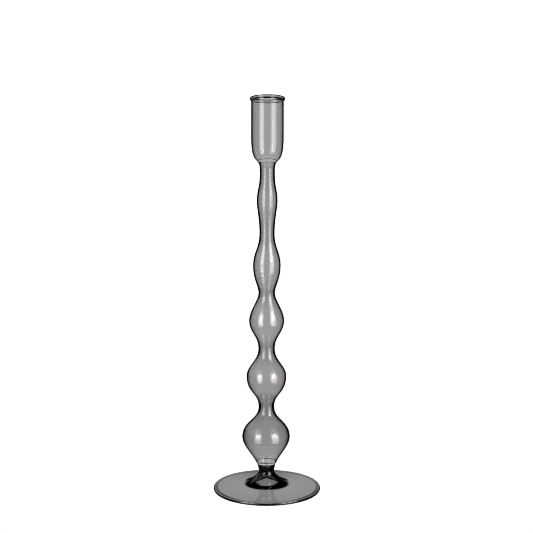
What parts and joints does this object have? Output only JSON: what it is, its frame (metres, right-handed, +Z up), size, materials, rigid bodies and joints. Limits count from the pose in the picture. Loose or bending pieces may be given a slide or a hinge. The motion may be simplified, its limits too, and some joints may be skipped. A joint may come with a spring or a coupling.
{
  "type": "candlestick",
  "caption": "Smoke-grey glass candlestick: a candle socket with a wrapped lip on a hollow stem of knops that grow towards a flared, hollow trumpet foot",
  "frame": {"origin": "centre of the foot's standing ring, on the surface that the candlestick stands on", "axes": "+Z is up, along the axis that every piece is turned about; X and Y are alike"},
  "size_m": [0.0856, 0.0856, 0.3202],
  "materials": {
    "smoke_glass": "clear smoke-grey glass, fire-polished, gloss"
  },
  "bodies": {
    "root": {"foot": "smoke_glass", "stem_seal": "smoke_glass", "knopped_stem": "smoke_glass", "candle_socket": "smoke_glass", "socket_lip": "smoke_glass"}
  },
  "joints": []
}
